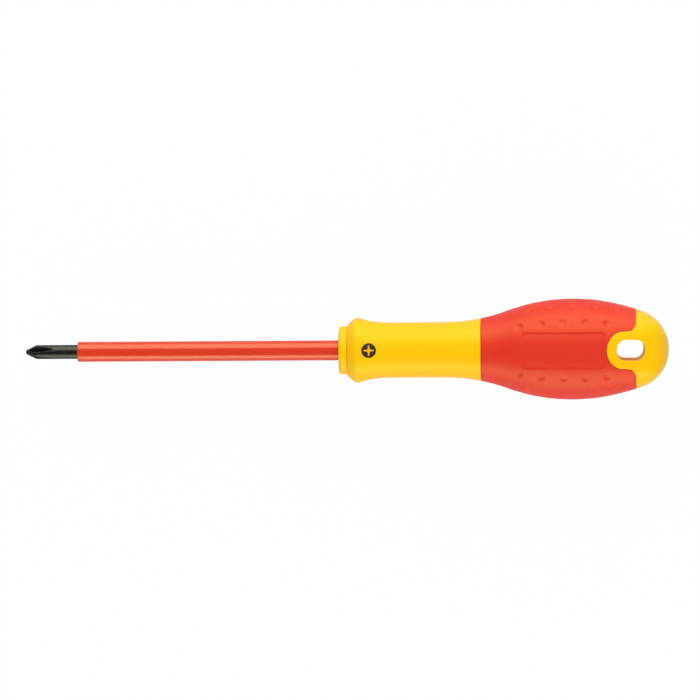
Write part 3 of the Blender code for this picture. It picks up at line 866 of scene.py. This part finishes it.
def make_grip(pressing):
    """Soft grip: a closed tube with rounded ends, a recessed panel on both faces, and dimples."""
    straight_end = PANEL_END + PANEL_WALL / 2
    stations = np.concatenate([
        GRIP_FRONT + SEAM_GAP + GRIP_END_ROWS,
        np.arange(GRIP_ROWS_START, PANEL_ROWS_START, GRIP_ROW_STEP),
        np.arange(PANEL_ROWS_START, straight_end, PANEL_ROW_STEP),
    ])
    rear = SEAM - SEAM_GAP
    rear_share = down(np.linspace(0, 1, GRIP_REAR_STEPS, endpoint=False))
    places = np.concatenate([
        np.repeat(down(stations), len(SEAM), axis=1),
        straight_end + (rear - GRIP_END_ROWS[-1] - straight_end) * rear_share,
        rear - down(GRIP_END_ROWS[::-1]),
    ])
    proud = GRIP_PROUD + swell(places)
    y = skin(places, proud)[..., 1]
    outset = proud - rounded_drop(plan_inside(places, y), GRIP_EDGE)
    outset -= PANEL_DEPTH * smooth_step(panel_inside(places, y) / PANEL_WALL + 0.5)
    inner_places = rear + (GRIP_FRONT + SEAM_GAP - rear) * down(np.linspace(0, 1, BED_ROWS))
    inner = skin(inner_places, SEAM_GAP - grip_wall(inner_places))
    grip = skinned("soft_grip_red", [np.concatenate([skin(places, outset), inner])], closed=True)
    close_up(grip)
    sizes = {"Diameter": DIMPLE_DIAMETER, "Depth": DIMPLE_DEPTH, "Pitch": DIMPLE_PITCH}
    reach = 1.5 * BELLY_HALF_WIDTH
    pressing.run(grip, Count=DIMPLES_IN_ROW, Reach=reach, Material=soft_elastomer(), **sizes)
    close_up(grip)
    return grip


def neck_rows():
    """Tube from the core's socket over the guard and neck, then under the grip to its rear seam."""
    columns = np.ones(len(SEAM))
    y_way, z_way = SIGN_Y * np.cos(NECK_TURN), SIGN_Z * np.sin(NECK_TURN)
    sixth = 2 * QUARTER_TURN / 3
    off_flat = np.abs((np.arctan2(z_way, y_way) + QUARTER_TURN) % sixth - sixth / 2)
    socket_radius = (CORE_HALF_FLATS + SEAM_GAP) / np.cos(off_flat)
    socket_end = CORE_DEPTH + SEAM_GAP

    def socket(place, share):
        reach = socket_radius * share
        return np.stack([columns * (BLADE_REACH + place), reach * y_way, reach * z_way], axis=-1)

    inside = [socket(socket_end, 0), socket(socket_end, 1), socket(SHELL_FRONT, 1)]
    edge_angle = np.linspace(0, QUARTER_TURN - GUARD_FACE_ANGLE, FRONT_EDGE_ROWS)
    face_outset = -SHELL_FRONT_EDGE * (1 - np.sin(edge_angle)) * SHELL_EDGE_SHARE
    face_place = SHELL_FRONT + SHELL_FRONT_EDGE * (1 - np.cos(edge_angle)) * SHELL_EDGE_SHARE
    crest_end = GUARD_PLACE + CREST_FINE_RUN
    ends = [SHELL_FRONT + SHELL_FRONT_EDGE, GUARD_FACE_END, GUARD_PLACE, crest_end, COVE_END]
    ends += [NECK_START, GRIP_FRONT - NECK_LIP]
    runs = [np.linspace(*run, endpoint=False) for run in zip(ends, ends[1:], NECK_STEPS)]
    places = np.concatenate([*runs, ends[-1:]])
    lip_places = GRIP_FRONT - NECK_LIP_ROWS
    lip_outset = SWELL - NECK_LIP_DROPS
    bed_places = GRIP_FRONT + (SEAM - GRIP_FRONT) * down(np.linspace(0, 1, BED_ROWS))
    return np.concatenate([
        inside,
        skin(down(face_place), down(face_outset)),
        skin(down(places), down(swell(places))),
        skin(down(lip_places), down(lip_outset)),
        skin(bed_places, -grip_wall(bed_places)),
        skin(SEAM[None, :], 0),
    ])


def butt_rows(side):
    """Skin of the butt on one face, from the middle of the slot's wall to the seam and the side."""
    seam_y = np.abs(skin(SEAM[None, :], 0)[0, : LAST + 1, 1])
    tongue_turn = np.linspace(0, QUARTER_TURN, TONGUE_COLUMNS + 1)[:-1]
    middle = np.linspace(0, 1, LAST + 1 - TONGUE_COLUMNS)
    last_turn = math.acos((GRIP_REAR - BUTT_CENTRE) / BUTT_RADIUS)
    fall = np.linspace(1, 0, BUTT_COLUMNS + 1)[1:]
    outer_place = np.concatenate([QUARTER_REAR, BUTT_CENTRE + BUTT_RADIUS * np.cos(fall * last_turn)])
    outer_y = np.concatenate([seam_y, BUTT_RADIUS * np.sin(fall * last_turn)])
    end_turn = fall * QUARTER_TURN
    bend = 2 / SLOT_END_POWER
    slot_place = np.concatenate([
        SLOT_FRONT + SLOT_END * (1 - np.cos(tongue_turn) ** bend),
        SLOT_FRONT + SLOT_END + (SLOT_REAR - SLOT_FRONT - 2 * SLOT_END) * middle,
        SLOT_REAR - SLOT_END * (1 - np.cos(end_turn) ** bend),
    ])
    slot_y = np.concatenate([
        SLOT_HALF_WIDTH * np.sin(tongue_turn) ** bend,
        np.full(len(middle), SLOT_HALF_WIDTH),
        SLOT_HALF_WIDTH * np.sin(end_turn) ** bend,
    ])
    slot_y[-1] = outer_y[-1] = 0
    length = np.hypot(outer_place - slot_place, outer_y - slot_y)
    rim_angle = down(np.linspace(0, QUARTER_TURN, SLOT_RIM_ROWS))
    rim_share = SLOT_RIM * (1 - np.cos(rim_angle)) / length
    rim_drop = SLOT_RIM * (1 - np.sin(rim_angle)) * np.ones(len(length))
    spread = 1 - (1 - down(np.linspace(0, 1, BUTT_STEPS + 1)[1:])) ** 3
    rest_share = rim_share[-1] + (1 - rim_share[-1]) * spread
    share = np.concatenate([rim_share, rest_share])
    drop = np.concatenate([rim_drop, np.zeros(rest_share.shape)])
    place = slot_place + (outer_place - slot_place) * share
    y = slot_y + (outer_y - slot_y) * share
    z = face_height(place, y) - drop
    z[-1, LAST:] = 0
    wall = z[0] * down(np.linspace(0, 1, SLOT_WALL_STEPS, endpoint=False))
    walled = np.ones(wall.shape)
    place = np.concatenate([place[0] * walled, place])
    y = np.concatenate([y[0] * walled, y])
    z = np.concatenate([wall, z])
    half = np.stack([BLADE_REACH + place, y, side * z], axis=-1)
    mirrored = half[:, -2:0:-1] * (1, -1, 1)
    return np.concatenate([half, mirrored], axis=1)


def make_shell():
    """Hard shell of the handle: neck, barrel under the grip, tongue and butt round the slot."""
    shell = skinned("handle_shell_yellow", [neck_rows(), butt_rows(1), butt_rows(-1)])
    shell.data.materials.append(hard_plastic("handle yellow", HANDLE_YELLOW))
    close_up(shell)
    return shell


def make_mark():
    """Round printed mark with a cross left open in it, wrapped on the neck."""
    tips = []
    for arm in range(4):
        along, across = arm * QUARTER_TURN, (arm + 1) * QUARTER_TURN
        way = np.array([math.cos(along), math.sin(along)])
        beside = np.array([math.cos(across), math.sin(across)])
        tips += [way * MARK_ARM - beside * MARK_ARM_TIP, way * MARK_ARM + beside * MARK_ARM_TIP]
        tips.append((way + beside) * MARK_ARM_ROOT)
    share = down(np.linspace(0, 1, MARK_SIDE_STEPS, endpoint=False))
    sides = zip(tips, tips[1:] + tips[:1])
    cross = np.concatenate([corner + (following - corner) * share for corner, following in sides])
    turn = np.arctan2(cross[:, 1], cross[:, 0])
    disc = MARK_RADIUS * np.stack([np.cos(turn), np.sin(turn)], axis=-1)
    plan = cross + (disc - cross) * np.linspace(0, 1, MARK_ROWS)[:, None, None]

    def lifted(lift):
        place, y = MARK_PLACE + plan[..., 0], MARK_SIDE + plan[..., 1]
        radius = half_width(place) + lift
        return np.stack([BLADE_REACH + place, y, np.sqrt(radius**2 - y**2)], axis=-1)

    rows = np.concatenate([lifted(MARK_LIFT), lifted(-MARK_LIFT)[::-1]])
    mark = skinned("neck_mark", [rows], closed=True)
    mark.data.materials.append(mark_ink())
    close_up(mark)
    return mark


# Studio

def look(thing, target, roll=0.0):
    """Turn a camera to a point, with +Y upwards in its picture."""
    way = (Vector(target) - thing.location).normalized()
    right = way.cross(Vector((0, 1, 0))).normalized()
    up = right.cross(way)
    facing = Matrix((right, up, -way)).transposed()
    thing.rotation_euler = (facing @ Matrix.Rotation(roll, 3, "Z")).to_euler()


def make_camera():
    camera = new_object("camera", bpy.data.cameras.new("camera"))
    centre = Vector(PICTURE_CENTRE)
    back = Vector((math.tan(CAMERA_TILT_X), math.tan(CAMERA_TILT_Y), 1)).normalized()
    camera.location = centre + back * CAMERA_DISTANCE
    look(camera, centre, CAMERA_ROLL)
    camera.data.sensor_width = SENSOR_WIDTH
    camera.data.lens = SENSOR_WIDTH * CAMERA_DISTANCE / PICTURE_WIDTH
    bpy.context.scene.camera = camera


def softbox(name, location, target, size, power, mirrored=True):
    """A lamp that the camera doesn't see; mirrored says whether glossy surfaces show it."""
    lamp = bpy.data.lights.new(name, "AREA")
    lamp.shape = "RECTANGLE"
    lamp.size, lamp.size_y = size
    lamp.energy = power
    thing = new_object(name, lamp)
    thing.location = location
    thing.rotation_euler = (Vector(target) - thing.location).to_track_quat("-Z", "Y").to_euler()
    thing.visible_camera = False
    thing.visible_glossy = mirrored


def make_lamps():
    """Walls of light along both sides, weak fills above and at the ends, and a glow up the slot."""
    softbox("ceiling fill", *CEILING_FILL, mirrored=False)
    softbox("front fill", *FRONT_FILL, mirrored=False)
    softbox("rear fill", *REAR_FILL, mirrored=False)
    softbox("upper wall", *UPPER_WALL)
    softbox("lower wall", *LOWER_WALL)
    softbox("slot glow", *SLOT_GLOW, mirrored=False)


def make_floor():
    """Pale floor that the handle's belly lies on, with a backdrop of the same white all round."""
    corners = [(-1, -1), (1, -1), (1, 1), (-1, 1)]
    heights = (FLOOR_Z, BACKDROP_HEIGHT)
    points = [(x * FLOOR_REACH, y * FLOOR_REACH, z) for z in heights for x, y in corners]
    walls = [(4 + side, 4 + (side + 1) % 4, (side + 1) % 4, side) for side in range(4)]
    mesh = bpy.data.meshes.new("floor")
    mesh.from_pydata(points, [], [(0, 1, 2, 3), *walls])
    floor = new_object("floor", mesh)
    material = bpy.data.materials.new("floor white")
    material.use_nodes = True
    tree = material.node_tree
    tree.nodes.clear()
    start = Wire(tree)
    path = start.node("ShaderNodeLightPath")
    seen = start.math("MAXIMUM", path.other("Is Camera Ray"), path.other("Is Transmission Ray"))
    glowing = start.math("MAXIMUM", seen * FLOOR_GLOW, path.other("Is Glossy Ray") * FLOOR_MIRRORED)
    colour = seen.tint(PAPER_BOUNCE, PAPER_SEEN)
    paper = start.node("ShaderNodeBsdfDiffuse", values={"Color": colour})
    glow = start.node("ShaderNodeEmission", values={"Strength": 1.0})
    mixed = start.node("ShaderNodeMixShader", values={0: glowing, 1: paper, 2: glow})
    out = tree.nodes.new("ShaderNodeOutputMaterial")
    tree.links.new(mixed.socket, out.inputs["Surface"])
    mesh.materials.append(material)


def make_world():
    """A soft dim sky."""
    world = bpy.data.worlds.new("studio")
    world.use_nodes = True
    bpy.context.scene.world = world
    background = world.node_tree.nodes["Background"]
    background.inputs["Color"].default_value = (1, 1, 1, 1)
    background.inputs["Strength"].default_value = SKY_LIGHT


def main():
    make_camera()
    make_lamps()
    make_floor()
    make_world()
    bpy.context.scene.view_settings.view_transform = "Standard"
    turning = turning_tree()
    pieces = {
        "blade": (make_blade(turning, flute_tree()), "dark_steel"),
        "blade_sleeve": (make_sleeve(turning), "red_insulation"),
        "inner_core": (make_core(turning), "core_plastic"),
        "handle_shell": (make_shell(), "handle_plastic"),
        "soft_grip": (make_grip(dimple_tree(DIMPLE_ROWS)), "grip_elastomer"),
    }
    for node, (piece, slot) in pieces.items():
        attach(piece, "root")
        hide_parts(node)
    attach(make_mark(), "root")


main()
